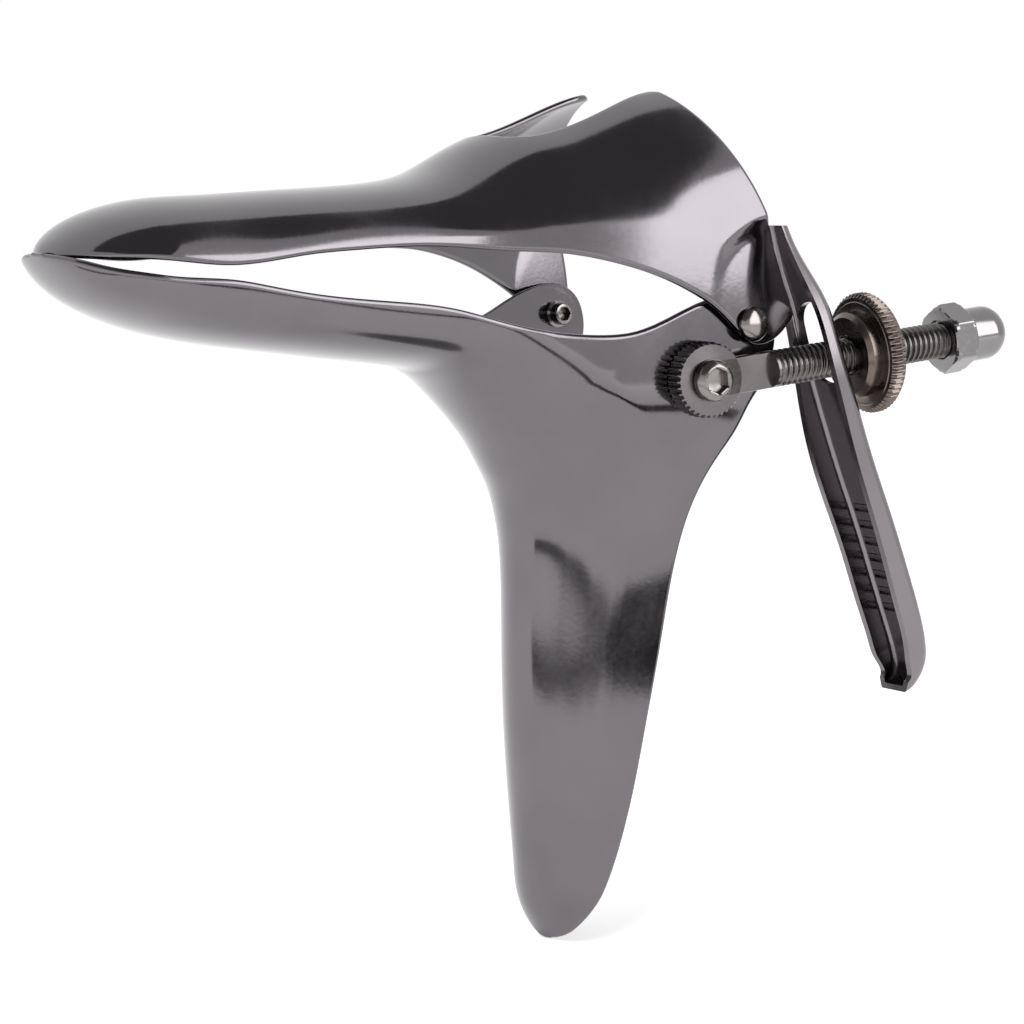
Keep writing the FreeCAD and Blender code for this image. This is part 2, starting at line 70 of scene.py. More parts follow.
def glow(name, colour, strength):
    """Plain glowing surface for a board that only the steel sees."""
    material = bpy.data.materials.new(name)
    material.use_nodes = True
    nodes, links = material.node_tree.nodes, material.node_tree.links
    nodes.clear()
    light = nodes.new("ShaderNodeEmission")
    light.inputs["Color"].default_value = (*colour, 1)
    light.inputs["Strength"].default_value = strength
    out = nodes.new("ShaderNodeOutputMaterial")
    links.new(light.outputs[0], out.inputs["Surface"])
    return material


def mirrored_only(board, material):
    """The board shows in reflections, and neither the camera nor the floor sees it."""
    board.data.materials.append(material)
    board.visible_camera = False
    board.visible_diffuse = False
    board.visible_shadow = False


world = bpy.data.worlds.new("white_room")
bpy.context.scene.world = world
world.use_nodes = True
nodes, links = world.node_tree.nodes, world.node_tree.links
nodes.clear()
path = nodes.new("ShaderNodeLightPath")
strength = nodes.new("ShaderNodeMapRange")
strength.inputs["To Min"].default_value = 1.0
strength.inputs["To Max"].default_value = 0.6
links.new(path.outputs["Is Diffuse Ray"], strength.inputs["Value"])
sky = nodes.new("ShaderNodeBackground")
sky.inputs["Color"].default_value = (1, 1, 1, 1)
links.new(strength.outputs[0], sky.inputs["Strength"])
world_out = nodes.new("ShaderNodeOutputWorld")
links.new(sky.outputs[0], world_out.inputs["Surface"])

floor_half = 9
floor = flat_board("floor", [(a * floor_half, b * floor_half, floor_level)
                             for a, b in ((-1, -1), (1, -1), (1, 1), (-1, 1))])
floor_material = bpy.data.materials.new("floor_white")
floor_material.use_nodes = True
nodes = floor_material.node_tree.nodes
plaster = nodes["Principled BSDF"]
plaster.inputs["Base Color"].default_value = (0.9, 0.9, 0.9, 1)
plaster.inputs["Roughness"].default_value = 0.9
plaster.inputs["Specular IOR Level"].default_value = 0.0
plaster.inputs["Emission Color"].default_value = (1, 1, 1, 1)
plaster.inputs["Emission Strength"].default_value = 0.46
floor.data.materials.append(floor_material)

# Upright softbox on the screw side, as (x, z) corners
softbox_y, softbox_strength = -0.2, 4.8
softbox_corners = [(0.004, 0.0), (0.17, 0.0), (0.17, 0.27), (0.12, 0.235), (0.08, 0.185), (0.055, 0.15), (0.03, 0.10),
                   (0.004, 0.07)]
softbox = flat_board("softbox", [(x, softbox_y, z) for x, z in softbox_corners])
mirrored_only(softbox, glow("softbox_white", (1, 1, 1), softbox_strength))
# Dark ceiling, as (x, y) corners
ceiling_height, ceiling_strength = 1, 0.16
ceiling_corners = [(0.48, 0.28), (0.50, -1.3), (0.3, -3), (-2.4, -3), (-2.4, 0.28)]
ceiling = flat_board("dark_ceiling", [(x, y, ceiling_height) for x, y in ceiling_corners])
mirrored_only(ceiling, glow("ceiling_dark", (1, 0.96, 1), ceiling_strength))
# Low dark strip round the edge of the table, as (x, y) places; darker on the screw side
sill_line = [(-0.215, 0.075), (-0.205, -0.075), (-0.12, -0.17), (-0.01, -0.2), (0.045, -0.165), (0.085, -0.11)]
sill_top, left_sill, right_sill = -0.084, 0.24, 0.07
for k, (one, other) in enumerate(zip(sill_line, sill_line[1:])):
    sill = flat_board("dark_sill_%d" % k, [(*one, floor_level), (*other, floor_level), (*other, sill_top),
                                           (*one, sill_top)])
    mirrored_only(sill, glow("sill_dark_%d" % k, (1, 0.95, 0.97), left_sill if k < 3 else right_sill))

for name, place, aim, size, power in (
    ("key_lamp", (-0.7, -0.3, 0.9), (0, 0, -0.05), 0.7, 9.0),
    ("side_lamp", (0.35, -0.8, 0.25), (0, 0, 0.0), 0.35, 2.2),
):
    lamp_data = bpy.data.lights.new(name, "AREA")
    lamp_data.size = size
    lamp_data.energy = power
    lamp = bpy.data.objects.new(name, lamp_data)
    bpy.context.scene.collection.objects.link(lamp)
    lamp.location = place
    lamp.rotation_mode = "QUATERNION"
    lamp.rotation_quaternion = (Vector(place) - Vector(aim)).to_track_quat("Z", "Y")
    lamp.visible_glossy = False

# Lower valve
# One pressed sheet of steel: the lower blade, the two flat ears of the hinge and the trough
# handle. It is polished all over, and the rim is rounded so that it can't cut.
MM = 0.001
rim_steps = 6


def line_through(places, values, at):
    """Natural cubic curve: its second slopes at the knots solve one linear system."""
    places, values = np.asarray(places, float), np.asarray(values, float)
    at = np.clip(at, places[0], places[-1])
    gap, rise = np.diff(places), np.diff(values)
    count = len(places)
    system, right = np.eye(count), np.zeros(count)
    inner = np.arange(1, count - 1)
    system[inner, inner - 1] = gap[:-1]
    system[inner, inner] = 2 * (gap[:-1] + gap[1:])
    system[inner, inner + 1] = gap[1:]
    right[inner] = 6 * (rise[1:] / gap[1:] - rise[:-1] / gap[:-1])
    bend = np.linalg.solve(system, right)
    k = np.clip(np.searchsorted(places, at) - 1, 0, count - 2)
    after, before, wide = places[k + 1] - at, at - places[k], gap[k]
    curved = (bend[k] * after**3 + bend[k + 1] * before**3) / (6 * wide)
    straight = (values[k] / wide - bend[k] * wide / 6) * after
    return curved + straight + (values[k + 1] / wide - bend[k + 1] * wide / 6) * before


def eased(knots, blur):
    """Function through (place, value) knots, held level past its ends, then blurred by a bell curve."""
    knots = np.array(knots, float)
    dense = np.arange(knots[0, 0] - 8 * blur, knots[-1, 0] + 8 * blur, blur / 12)
    values = line_through(knots[:, 0], knots[:, 1], dense)
    bell = np.exp(-0.5 * (np.arange(-48, 49) / 12) ** 2)
    padded = np.pad(values, 48, mode="edge")
    values = np.convolve(padded, bell / bell.sum(), mode="valid")
    return lambda at: np.interp(at, dense, values)


def outline_points(points, count):
    """Smooth side-view line through (x, z) points, as evenly numbered points along its chords."""
    points = np.array(points, float)
    run = np.concatenate([[0], np.cumsum(np.hypot(*np.diff(points, axis=0).T))])
    at = np.linspace(0, run[-1], count)
    return np.stack([line_through(run, points[:, 0], at), line_through(run, points[:, 1], at)], axis=1)


def reach_to(outline, x, z, ux, uz):
    """How far each ray from (x, z) along (ux, uz) runs to its last crossing with the outline."""
    dx, dz = outline[None, :, 0] - x[:, None], outline[None, :, 1] - z[:, None]
    side = dx * uz[:, None] - dz * ux[:, None]
    along = dx * ux[:, None] + dz * uz[:, None]
    a, b = side[:, :-1], side[:, 1:]
    share = a / np.where(a == b, 1, a - b)
    hit = along[:, :-1] + share * (along[:, 1:] - along[:, :-1])
    hit = np.where((a * b <= 0) & (a != b) & (hit > 0), hit, 0.0)
    return hit.max(axis=1)


def rounded_end(distance, radius):
    """Share of the full width over an end: a quarter circle that starts at nothing at the tip."""
    q = np.clip(1 - distance / radius, 0, 1)
    return np.sqrt(np.maximum(0, 1 - q * q))


def unit(vectors):
    """Vectors scaled to length one."""
    return vectors / np.maximum(np.linalg.norm(vectors, axis=-1, keepdims=True), 1e-12)


def new_piece(name, points, faces):
    """Mesh object from metres and quads, with its faces turned outwards and shaded smooth."""
    mesh = bpy.data.meshes.new(name)
    mesh.from_pydata(points.reshape(-1, 3), [], faces.tolist() if hasattr(faces, "tolist") else faces)
    tidy = bmesh.new()
    tidy.from_mesh(mesh)
    bmesh.ops.remove_doubles(tidy, verts=tidy.verts, dist=1e-7)
    bmesh.ops.recalc_face_normals(tidy, faces=tidy.faces)
    tidy.to_mesh(mesh)
    tidy.free()
    mesh.polygons.foreach_set("use_smooth", np.ones(len(mesh.polygons), bool))
    piece = bpy.data.objects.new(name, mesh)
    bpy.context.scene.collection.objects.link(piece)
    return piece


def pressed_sheet(name, outside, thick, outwards, normal=None, keep=None):
    """Sheet of steel: a grid of outside points, a second grid one thickness below it along the
    normals, and a half-round rim all round the cells kept. outwards is +1 or -1 for the grid's turn."""
    rows, columns = outside.shape[:2]
    if normal is None:
        normal = unit(np.cross(np.gradient(outside, axis=0), np.gradient(outside, axis=1)))
    thick = np.broadcast_to(thick, (rows, columns))[..., None]
    inside = outside - outwards * normal * thick
    cell = np.arange(rows - 1)[:, None] * columns + np.arange(columns - 1)[None, :]
    cell = cell.ravel() if keep is None else cell[keep]
    quads = np.stack([cell, cell + 1, cell + columns + 1, cell + columns], axis=1)
    size = rows * columns
    one, other = quads.ravel(), np.roll(quads, -1, axis=1).ravel()
    border = ~np.isin(one * size + other, other * size + one)
    follow = dict(zip(one[border].tolist(), other[border].tolist()))
    edge = [next(iter(follow))]
    while follow[edge[-1]] != edge[0]:
        edge.append(follow[edge[-1]])
    edge = np.array(edge)
    spots = outside.reshape(-1, 3)[edge]
    edge = edge[np.linalg.norm(spots - np.roll(spots, 1, axis=0), axis=1) > 1e-3]
    top, low = outside.reshape(-1, 3)[edge], inside.reshape(-1, 3)[edge]
    along = np.roll(top, -1, axis=0) - np.roll(top, 1, axis=0)
    away = unit(np.cross(normal.reshape(-1, 3)[edge], along))
    centre, half = (top + low) / 2, np.linalg.norm(top - low, axis=1, keepdims=True) / 2
    steps = rim_steps
    rim = [centre + (top - centre) * np.cos(np.pi * k / steps) + away * half * np.sin(np.pi * k / steps)
           for k in range(1, steps)]
    points = np.concatenate([outside.reshape(-1, 3), inside.reshape(-1, 3)] + rim)
    faces = [quads, quads[:, ::-1] + size]
    count = len(edge)
    rings = [edge] + [2 * size + k * count + np.arange(count) for k in range(steps - 1)] + [edge + size]
    for one, other in zip(rings, rings[1:]):
        faces.append(np.stack([one, np.roll(one, -1), np.roll(other, -1), other], axis=1))
    return new_piece(name, points * MM, np.concatenate(faces))


sheet_thickness, rim_room = 1.1, 0.5
tip_x, tip_round = -111.0, 13.0
handle_tip_z, handle_round = -102.3, 10.3
lower_rows, lower_columns = 345, 123
# Spine of the outer face from blade tip to handle tip: x, z, direction of the walls in degrees,
# bowl depth
lower_spine = np.array([
    (-110.8, 11.6, 90, 0.6), (-109.0, 9.1, 90, 2.1), (-105.7, 5.5, 90, 4.9), (-101, 2.6, 90, 7.2),
    (-94, 0.1, 90, 9.0), (-84, -1.9, 90, 10.2), (-72, -3.5, 90, 9.8), (-60, -5.0, 90, 9.6),
    (-50, -6.3, 88, 9.8), (-46, -7.6, 77, 10.5), (-43, -9.4, 62, 11.5), (-40, -11.8, 49, 12.5),
    (-37, -14.8, 38, 14), (-34.2, -18, 31, 15), (-32, -21, 26, 15.5), (-30, -24.5, 20, 15),
    (-28, -28.5, 12, 14), (-26.9, -33, 4, 12.8), (-26.4, -38.5, 0, 12), (-26.4, -50, -4, 11),
    (-26.0, -66, -6, 9.2), (-24.9, -82, -7, 7.6), (-23.8, -91, -8, 6), (-22.6, -97, -10, 3.8),
    (-21.2, -100.6, -15, 1.7), (-20.8, -102, -20, 0.9)])
lower_edge = outline_points([
    (-113.4, 13.0), (-110.6, 11.9), (-107, 10.4), (-102.4, 9.4), (-95.5, 8.6), (-87.3, 8.1), (-80.4, 6.9),
    (-72.4, 5.6), (-61, 4.5), (-49.6, 3.1), (-40.5, 0.7), (-32.6, -0.8), (-25, -1.4), (-20, -1.1),
    (-14.8, 0.5), (-8.8, 3.1), (-4, 4.5), (0.5, 4.9), (2.9, 4.2), (4.8, 2.6), (5.9, 0.2),
    (6.2, -2.6), (5.2, -6.3), (3.6, -9.3), (1.8, -12), (0, -17), (-1.8, -21), (-4.5, -30),
    (-5.5, -38.6), (-7, -52), (-9.1, -65), (-12.6, -85), (-15.4, -93), (-18.6, -99), (-20.1, -102)], 1600)
lower_width = eased([
    (-99.8, 16.4), (-80, 16.5), (-60, 16.9), (-50, 17.4), (-40, 18.8), (-30, 20.9), (-22, 22.8),
    (-16, 23.91), (-3, 25.85), (-0.5, 26.0)], 1.2)
handle_share = eased([
    (-102, 0.40), (-85, 0.44), (-75, 0.48), (-65, 0.515), (-55, 0.54), (-46, 0.565), (-38, 0.615),
    (-32, 0.68), (-26, 0.765), (-20, 0.87), (-15, 0.955), (-11, 1.0)], 1.5)


def trough(x, z, ux, uz, bowl, length, share, width_at, tip):
    """Point of a trough section: a quarter ellipse from the spine down to the bowl's depth, then
    a straight wall; share runs from -1 on one free edge over 0 on the spine to 1 on the other."""
    end_turn = np.arccos(np.clip(1 - length / bowl, 0, 1))
    quarter = (bowl + 0.8 * width_at(x, z)) * 0.785
    curved = quarter * end_turn / (np.pi / 2)
    run = np.abs(share) * (curved + np.maximum(0, length - bowl))
    turn = np.minimum(run / quarter * np.pi / 2, end_turn)
    deep = bowl * (1 - np.cos(turn)) + np.maximum(0, run - curved)
    px, pz = x + ux * deep, z + uz * deep
    py = np.sign(share) * np.sin(turn) * width_at(px, pz) * tip
    return np.stack([px, py, pz], axis=-1)


def worked_thin(tip):
    """Thickness of the sheet: 45 % at an end, and in full where the width is 62 % of the whole."""
    return sheet_thickness * (0.45 + 0.55 * np.minimum(1, tip * 1.6))


station = np.arange(len(lower_spine))
first_station = 0.02
at = np.linspace(first_station, station[-1], lower_rows)[:, None]
spine = [line_through(station, lower_spine[:, k], at) for k in range(4)]
lean = np.radians(spine[2])
length = reach_to(lower_edge, spine[0][:, 0], spine[1][:, 0], np.cos(lean[:, 0]), np.sin(lean[:, 0]))
length = np.maximum(length[:, None] - rim_room, 0.1)
tip = rounded_end(spine[0] - tip_x, tip_round) * rounded_end(spine[1] - handle_tip_z, handle_round)
share = np.linspace(-1, 1, lower_columns)[None, :]
lower_grid = trough(spine[0], spine[1], np.cos(lean), np.sin(lean), spine[3], length, share,
                    lambda x, z: lower_width(x) * handle_share(z), tip)
lower_valve = pressed_sheet("lower_valve_sheet", lower_grid, worked_thin(tip), -1)
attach(lower_valve, "lower_valve")
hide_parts("lower_valve")


def steel_finish():
    """Shader group: fine grain and smudges, from a piece's own coordinates."""
    group = bpy.data.node_groups.new("steel_finish", "ShaderNodeTree")
    for word, kind, value in (("Place", "NodeSocketVector", None), ("Grain", "NodeSocketFloat", 900.0),
                              ("Depth", "NodeSocketFloat", 0.05), ("Smooth", "NodeSocketFloat", 0.12),
                              ("Rough", "NodeSocketFloat", 0.3)):
        socket = group.interface.new_socket(word, in_out="INPUT", socket_type=kind)
        if value is not None:
            socket.default_value = value
    for word, kind in (("Shade", "NodeSocketFloat"), ("Roughness", "NodeSocketFloat"),
                       ("Normal", "NodeSocketVector")):
        group.interface.new_socket(word, in_out="OUTPUT", socket_type=kind)
    nodes, links = group.nodes, group.links
    given, made = nodes.new("NodeGroupInput"), nodes.new("NodeGroupOutput")
    smudge = nodes.new("ShaderNodeTexNoise")
    smudge.inputs["Scale"].default_value = 70
    smudge.inputs["Detail"].default_value = 5
    smudge.inputs["Roughness"].default_value = 0.6
    grain = nodes.new("ShaderNodeTexNoise")
    grain.inputs["Detail"].default_value = 3
    links.new(given.outputs["Place"], smudge.inputs["Vector"])
    links.new(given.outputs["Place"], grain.inputs["Vector"])
    links.new(given.outputs["Grain"], grain.inputs["Scale"])
    spread = nodes.new("ShaderNodeMapRange")
    spread.inputs["From Min"].default_value = 0.3
    spread.inputs["From Max"].default_value = 0.7
    links.new(smudge.outputs["Fac"], spread.inputs["Value"])
    links.new(given.outputs["Smooth"], spread.inputs["To Min"])
    links.new(given.outputs["Rough"], spread.inputs["To Max"])
    speck = nodes.new("ShaderNodeMath")
    speck.operation = "MULTIPLY_ADD"
    speck.inputs[1].default_value = 0.06
    links.new(grain.outputs["Fac"], speck.inputs[0])
    links.new(spread.outputs[0], speck.inputs[2])
    shade = nodes.new("ShaderNodeMapRange")
    shade.inputs["To Min"].default_value = 0.86
    shade.inputs["To Max"].default_value = 1.1
    links.new(smudge.outputs["Fac"], shade.inputs["Value"])
    relief = nodes.new("ShaderNodeBump")
    relief.inputs["Distance"].default_value = 0.0001
    links.new(given.outputs["Depth"], relief.inputs["Strength"])
    links.new(grain.outputs["Fac"], relief.inputs["Height"])
    links.new(shade.outputs[0], made.inputs["Shade"])
    links.new(speck.outputs[0], made.inputs["Roughness"])
    links.new(relief.outputs["Normal"], made.inputs["Normal"])
    return group


finish_group = steel_finish()


def steel(name, colour, smooth, rough, grain=900.0, depth=0.05, stretch=(1, 1, 1)):
    """Metal material whose shade, roughness and grain come from the steel_finish group."""
    material = bpy.data.materials.new(name)
    material.use_nodes = True
    nodes, links = material.node_tree.nodes, material.node_tree.links
    metal = nodes["Principled BSDF"]
    metal.inputs["Metallic"].default_value = 1.0
    place, turn = nodes.new("ShaderNodeTexCoord"), nodes.new("ShaderNodeMapping")
    turn.inputs["Scale"].default_value = stretch
    links.new(place.outputs["Object"], turn.inputs["Vector"])
    finish = nodes.new("ShaderNodeGroup")
    finish.node_tree = finish_group
    for word, value in (("Grain", grain), ("Depth", depth), ("Smooth", smooth), ("Rough", rough)):
        finish.inputs[word].default_value = value
    links.new(turn.outputs[0], finish.inputs["Place"])
    tint = nodes.new("ShaderNodeVectorMath")
    tint.operation = "SCALE"
    tint.inputs[0].default_value = colour
    links.new(finish.outputs["Shade"], tint.inputs["Scale"])
    links.new(tint.outputs[0], metal.inputs["Base Color"])
    links.new(finish.outputs["Roughness"], metal.inputs["Roughness"])
    links.new(finish.outputs["Normal"], metal.inputs["Normal"])
    return material


valve_steel = steel("dark_polished_steel", (0.150, 0.140, 0.150), 0.05, 0.13, 1400.0, 0.04)
lower_valve.data.materials.append(valve_steel)

# Upper valve
# The second pressed sheet: the upper blade, which widens to the raised mouth with a notch in
# its rim, and two ears pressed flat round the hinge. The near ear is wider: it bears the lever.
mouth_lean = 21.4
upper_tip_x = -109.1
upper_spine = np.array([
    (-108.9, 12.2, 0, 0.6), (-107.9, 13.9, 0, 2.2), (-105.2, 16.2, 0, 4.6), (-101, 18.2, 0, 7),
    (-94, 19.8, 0, 8.9), (-84, 20.4, 0, 9.7), (-72, 21.1, 0, 9.3), (-60, 21.8, 0, 9.2), (-50, 22.9, 0, 9.9),
    (-43, 25, 1, 12), (-37, 28, 3, 14.6), (-31, 30.6, 6, 17), (-25, 32.3, 9, 18.8), (-19, 34.4, 12.5, 21),
    (-13.6, 36.5, 16.5, 24), (-9.5, 37.8, 19.5, 26), (-6.1, 38.6, mouth_lean, 27)])
upper_edge = outline_points([
    (-112.7, 11.6), (-108.2, 11.35), (-102.4, 11.5), (-95.4, 11.0), (-88.3, 10.4), (-83.1, 10.7),
    (-75, 11.8), (-66.7, 12.4), (-55.3, 12.8), (-40.5, 11.9), (-32.6, 11.5), (-25.1, 10.2),
    (-17.6, 8.0), (-11.1, 5.1), (-5.3, 1.55), (-1.7, -1.5), (1.3, -3.2), (4.2, -2.8), (7.1, -0.8), (8.7, 1.6),
    (10.0, 4.0)], 1600)
upper_width = eased([
    (-99.8, 16.4), (-84, 16.6), (-60, 17.0), (-50, 17.8), (-40, 19.6), (-30, 22.2), (-22, 24.4),
    (-14, 26.4), (-7, 27.6), (-2, 28.2), (5, 28.5)], 1.5)
ear_half, leaf_x, leaf_z, leaf_radius, leaf_blend = 27.4, 4.5, 3.5, 14.4, 3.2


def upper_half(x, z):
    """Half width: the valve's own, eased to the flat ear inside the leaf's circle."""
    q = np.clip((leaf_radius - np.hypot(x - leaf_x, z - leaf_z)) / leaf_blend, 0, 1)
    flat = q * q * (3 - 2 * q)
    return upper_width(x) * (1 - flat) + ear_half * flat


upper_station = np.arange(len(upper_spine))
dense_at = np.linspace(0, upper_station[-1], 1200)
dense_spine = [line_through(upper_station, upper_spine[:, k], dense_at) for k in range(4)]
dense_lean = np.radians(dense_spine[2])
dense_length = reach_to(upper_edge, dense_spine[0], dense_spine[1], np.sin(dense_lean), -np.cos(dense_lean))


def plain_point(at, share):
    """Outer face of the upper valve at a station and a share of its section."""
    x, z, lean, bowl = [line_through(upper_station, upper_spine[:, k], at) for k in range(4)]
    lean = np.radians(lean)
    length = np.maximum(np.interp(at, dense_at, dense_length) - rim_room, 0.1)
    tip = rounded_end(x - upper_tip_x, tip_round)
    return trough(x, z, np.sin(lean), -np.cos(lean), bowl, length, share, upper_half, tip)


# Half width of the notch by x, and x of the far ear's back edge by height
notch_front = -33.3
notch_half = eased([(notch_front, 0.0), (-33.2, 2.2), (-33.0, 4.2), (-32.2, 6.4), (-30.2, 8.5), (-27.8, 9.3),
                    (-24.9, 9.6), (-13.4, 9.5), (-9.2, 9.1), (-6.8, 9.2), (-5.4, 10.2), (-4.6, 12.0)], 0.12)
far_back = eased([(-4, 3.6), (0, 3.5), (4, 3.3), (9.7, 2.4), (15, 1.4), (19.6, 0.6), (23, 0.4), (26, 9.0),
                  (40, 20.0)], 0.6)
mouth = upper_station[-1]
# Share of the section at which the notch's edge lies, station by station
fine_share = np.linspace(0, 0.5, 500)
fine = plain_point(dense_at[:, None], fine_share[None, :])
inside = (fine[..., 1] < notch_half(fine[..., 0])) & (fine[..., 0] > notch_front)
edge_share = fine_share[np.argmin(inside, axis=1)] * inside[:, 0]
corner = int(np.argmax(edge_share))
notch_share = edge_share[corner]
notch_at = dense_at[np.argmax(edge_share > 0)]
later = np.convolve(np.pad(edge_share[corner:], 9, mode="edge"), np.ones(19) / 19, mode="valid")


def along_edge(at, share):
    """The section shares, squeezed so that one column runs along the notch's edge."""
    edge = np.interp(at, dense_at[corner:], np.minimum(later, notch_share))
    squeezed = 1 - (1 - np.abs(share)) * (1 - edge) / (1 - notch_share)
    return np.where(np.abs(share) >= notch_share, squeezed, np.abs(share)) * np.sign(share)


def last_station(share):
    """Where each column of the sheet would end: at the mouth, or at the far ear's back edge."""
    points = plain_point(dense_at[:, None], along_edge(dense_at[:, None], share[None, :]))
    x, y, z = points[..., 0], points[..., 1], points[..., 2]
    past = np.where((y > 15) & (z < 24) & (x > -6), x - far_back(z), -9.0)
    hit = np.argmax(past > 0, axis=0)
    column = np.arange(len(share))
    before, after = past[np.maximum(hit - 1, 0), column], past[hit, column]
    part_way = np.clip(before / (before - after - 1e-9), 0, 1)
    found = dense_at[np.maximum(hit - 1, 0)] + (dense_at[1] - dense_at[0]) * part_way
    return np.where(past.max(axis=0) > 0, found, mouth)


# Columns crowd towards the notch's edge. Behind the notch's front the columns in it stop at its
# edge, and the cells that lie past that edge are left out.
notch_columns, side_columns, blade_rows, mouth_rows = 30, 54, 150, 110
near_shares = np.concatenate([notch_share * np.sin(np.linspace(0, np.pi / 2, notch_columns))[:-1],
                              notch_share + (1 - notch_share) * np.linspace(0, 1, side_columns)])
upper_share = np.concatenate([-near_shares[::-1], near_shares[1:]])
shared = notch_at - 0.5
front_rows = np.linspace(first_station, shared, blade_rows)[:, None] + 0 * upper_share[None, :]
back_rows = shared + (last_station(upper_share)[None, :] - shared) * np.linspace(0, 1, mouth_rows + 1)[1:, None]
upper_rows = np.concatenate([front_rows, back_rows])
rising_share = np.maximum.accumulate(edge_share[:corner + 1])
notch_stop = np.maximum(np.interp(np.abs(upper_share), rising_share, dense_at[:corner + 1]), notch_at)
in_notch = np.abs(upper_share) < notch_share - 1e-9
upper_at = np.minimum(upper_rows, np.where(in_notch, notch_stop, mouth)[None, :])
cell_stop = np.where(in_notch[:-1] | in_notch[1:], np.maximum(notch_stop[:-1], notch_stop[1:]), 2 * mouth)
upper_keep = upper_rows[:-1, :-1] < cell_stop[None, :] - 1e-9
side_share = along_edge(upper_at, upper_share[None, :])
upper_grid = plain_point(upper_at, side_share)
step_at, step_share = 0.01, 0.001
upper_normal = unit(np.cross(
    plain_point(upper_at + step_at, side_share) - plain_point(upper_at - step_at, side_share),
    plain_point(upper_at, np.minimum(side_share + step_share, 1))
    - plain_point(upper_at, np.maximum(side_share - step_share, -1))))
upper_tip = rounded_end(upper_grid[..., 0] - upper_tip_x, tip_round)
upper_valve = pressed_sheet("upper_valve_sheet", upper_grid, worked_thin(upper_tip), 1, upper_normal, upper_keep)
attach(upper_valve, "upper_valve")
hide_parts("upper_valve")
upper_valve.data.materials.append(valve_steel)

# Thumb lever
# A second pressing, spot welded to the near ear: a channel with a slot for the rod and seven
# ribs for the thumb. Its edges are rounded like those of the valves.
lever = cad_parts["thumb_lever"]
lever.data.materials.clear()
lever.data.materials.append(steel("dark_lever_steel", (0.2, 0.185, 0.195), 0.1, 0.24, 1200.0, 0.05))
lever_edges = lever.modifiers.new("rounded_edges", "BEVEL")
lever_edges.width = 0.00028
lever_edges.segments = 3
lever_edges.limit_method = "ANGLE"
lever_edges.angle_limit = np.radians(42)

# Rod and knurled eye
# One turned piece: a knurled disc on the near wall, flat on its outside, and a screw rod that
# leaves it along the disc's plane and points outwards by the flare of the wall.
flare, rise = np.radians(8.5), np.radians(6.8)
eye_base = np.array([-9.1, -25.104691, -8.4])
rod_axis = np.array([np.cos(flare) * np.cos(rise), -np.sin(flare) * np.cos(rise), np.sin(rise)])
eye_axis = np.array([-np.sin(flare), -np.cos(flare), 0.0])
eye_side = np.cross(eye_axis, rod_axis)
rod_out = 3.25


def turned(name, origin, axis, first, profile, columns, limit=None, key=None, crisp=32):
    """Piece turned about an axis. profile lists (radius, height) or (radius, height, "key");
    limit gives the greatest radius at each angle (teeth, flats), and key scales the radii of the
    rows marked "key", for a socket. Angles start at the direction first."""
    turn = np.linspace(0, 2 * np.pi, columns, endpoint=False)
    second = np.cross(axis, first)
    rows = []
    for radius, height, *mark in profile:
        ring = np.full(columns, float(radius))
        if mark:
            ring = ring * key(turn)
        elif limit is not None:
            ring = np.minimum(ring, limit(turn))
        across = np.outer(ring * np.cos(turn), first) + np.outer(ring * np.sin(turn), second)
        rows.append(origin + across + height * axis)
    points = np.stack(rows)
    column = np.arange(columns)
    ring = np.arange(len(rows) - 1)[:, None] * columns
    after = (column + 1) % columns
    faces = np.stack([ring + column, ring + after, ring + columns + after, ring + columns + column], axis=-1)
    caps = [tuple(column[::-1]), tuple(column + (len(rows) - 1) * columns)]
    piece = new_piece(name, points * MM, faces.reshape(-1, 4).tolist() + caps)
    piece.data.set_sharp_from_angle(angle=np.radians(crisp))
    return piece


def straight_teeth(radius, depth, count):
    """Greatest radius of a straight knurl: shallow V grooves between count narrow ridges."""
    def reach(turn):
        q = np.abs((turn * count / (2 * np.pi)) % 1 - 0.5) * 2
        return radius - depth * np.clip(1.25 * q - 0.1, 0, 1)
    return reach


def six_flats(across):
    """Distance from the middle of a hexagon to its side at each angle."""
    def reach(turn):
        return across / 2 / np.cos((turn + np.pi / 6) % (np.pi / 3) - np.pi / 6)
    return reach


rod_radius, eye_low, eye_high = 2.95, 0.15, 4.15
thread_pitch, thread_depth = 1.0, 0.48
rod_start, thread_start, thread_end, rod_end, shoulder = 2.0, 11.9, 49.6, 49.9, 11.4
eye_radius, eye_bore, eye_teeth, tooth_depth = 6.0, 2.05, 36, 0.5
at = np.linspace(rod_start, rod_end, 1000)[:, None]
turn = np.linspace(0, 2 * np.pi, 72, endpoint=False)[None, :]
wave = np.abs((at / thread_pitch - turn / (2 * np.pi)) % 1 - 0.5) * 2
cut = thread_depth * np.clip((wave - 0.16) / 0.62, 0, 1) ** 0.9
cut = cut * np.clip((at - thread_start) / 0.5, 0, 1) * np.clip((thread_end - at) / 0.6, 0, 1)
radius = rod_radius - cut
side, out = radius * np.sin(turn), rod_out + radius * np.cos(turn)
flat = np.hypot(at + 0 * side, side) < shoulder
out = np.where(flat, np.minimum(out, eye_high), out)
out = np.maximum(out, eye_low + 0.05)
rod_points = eye_base + at[..., None] * rod_axis + side[..., None] * eye_side + out[..., None] * eye_axis
rows, columns = side.shape
ring, column = np.arange(rows - 1)[:, None] * columns, np.arange(columns)
after = (column + 1) % columns
rod_faces = np.stack([ring + column, ring + after, ring + columns + after, ring + columns + column], axis=-1)
rod_caps = [tuple(column[::-1]), tuple(column + (rows - 1) * columns)]
rod = new_piece("screw_rod", rod_points * MM, rod_faces.reshape(-1, 4).tolist() + rod_caps)
rod.data.set_sharp_from_angle(angle=np.radians(50))
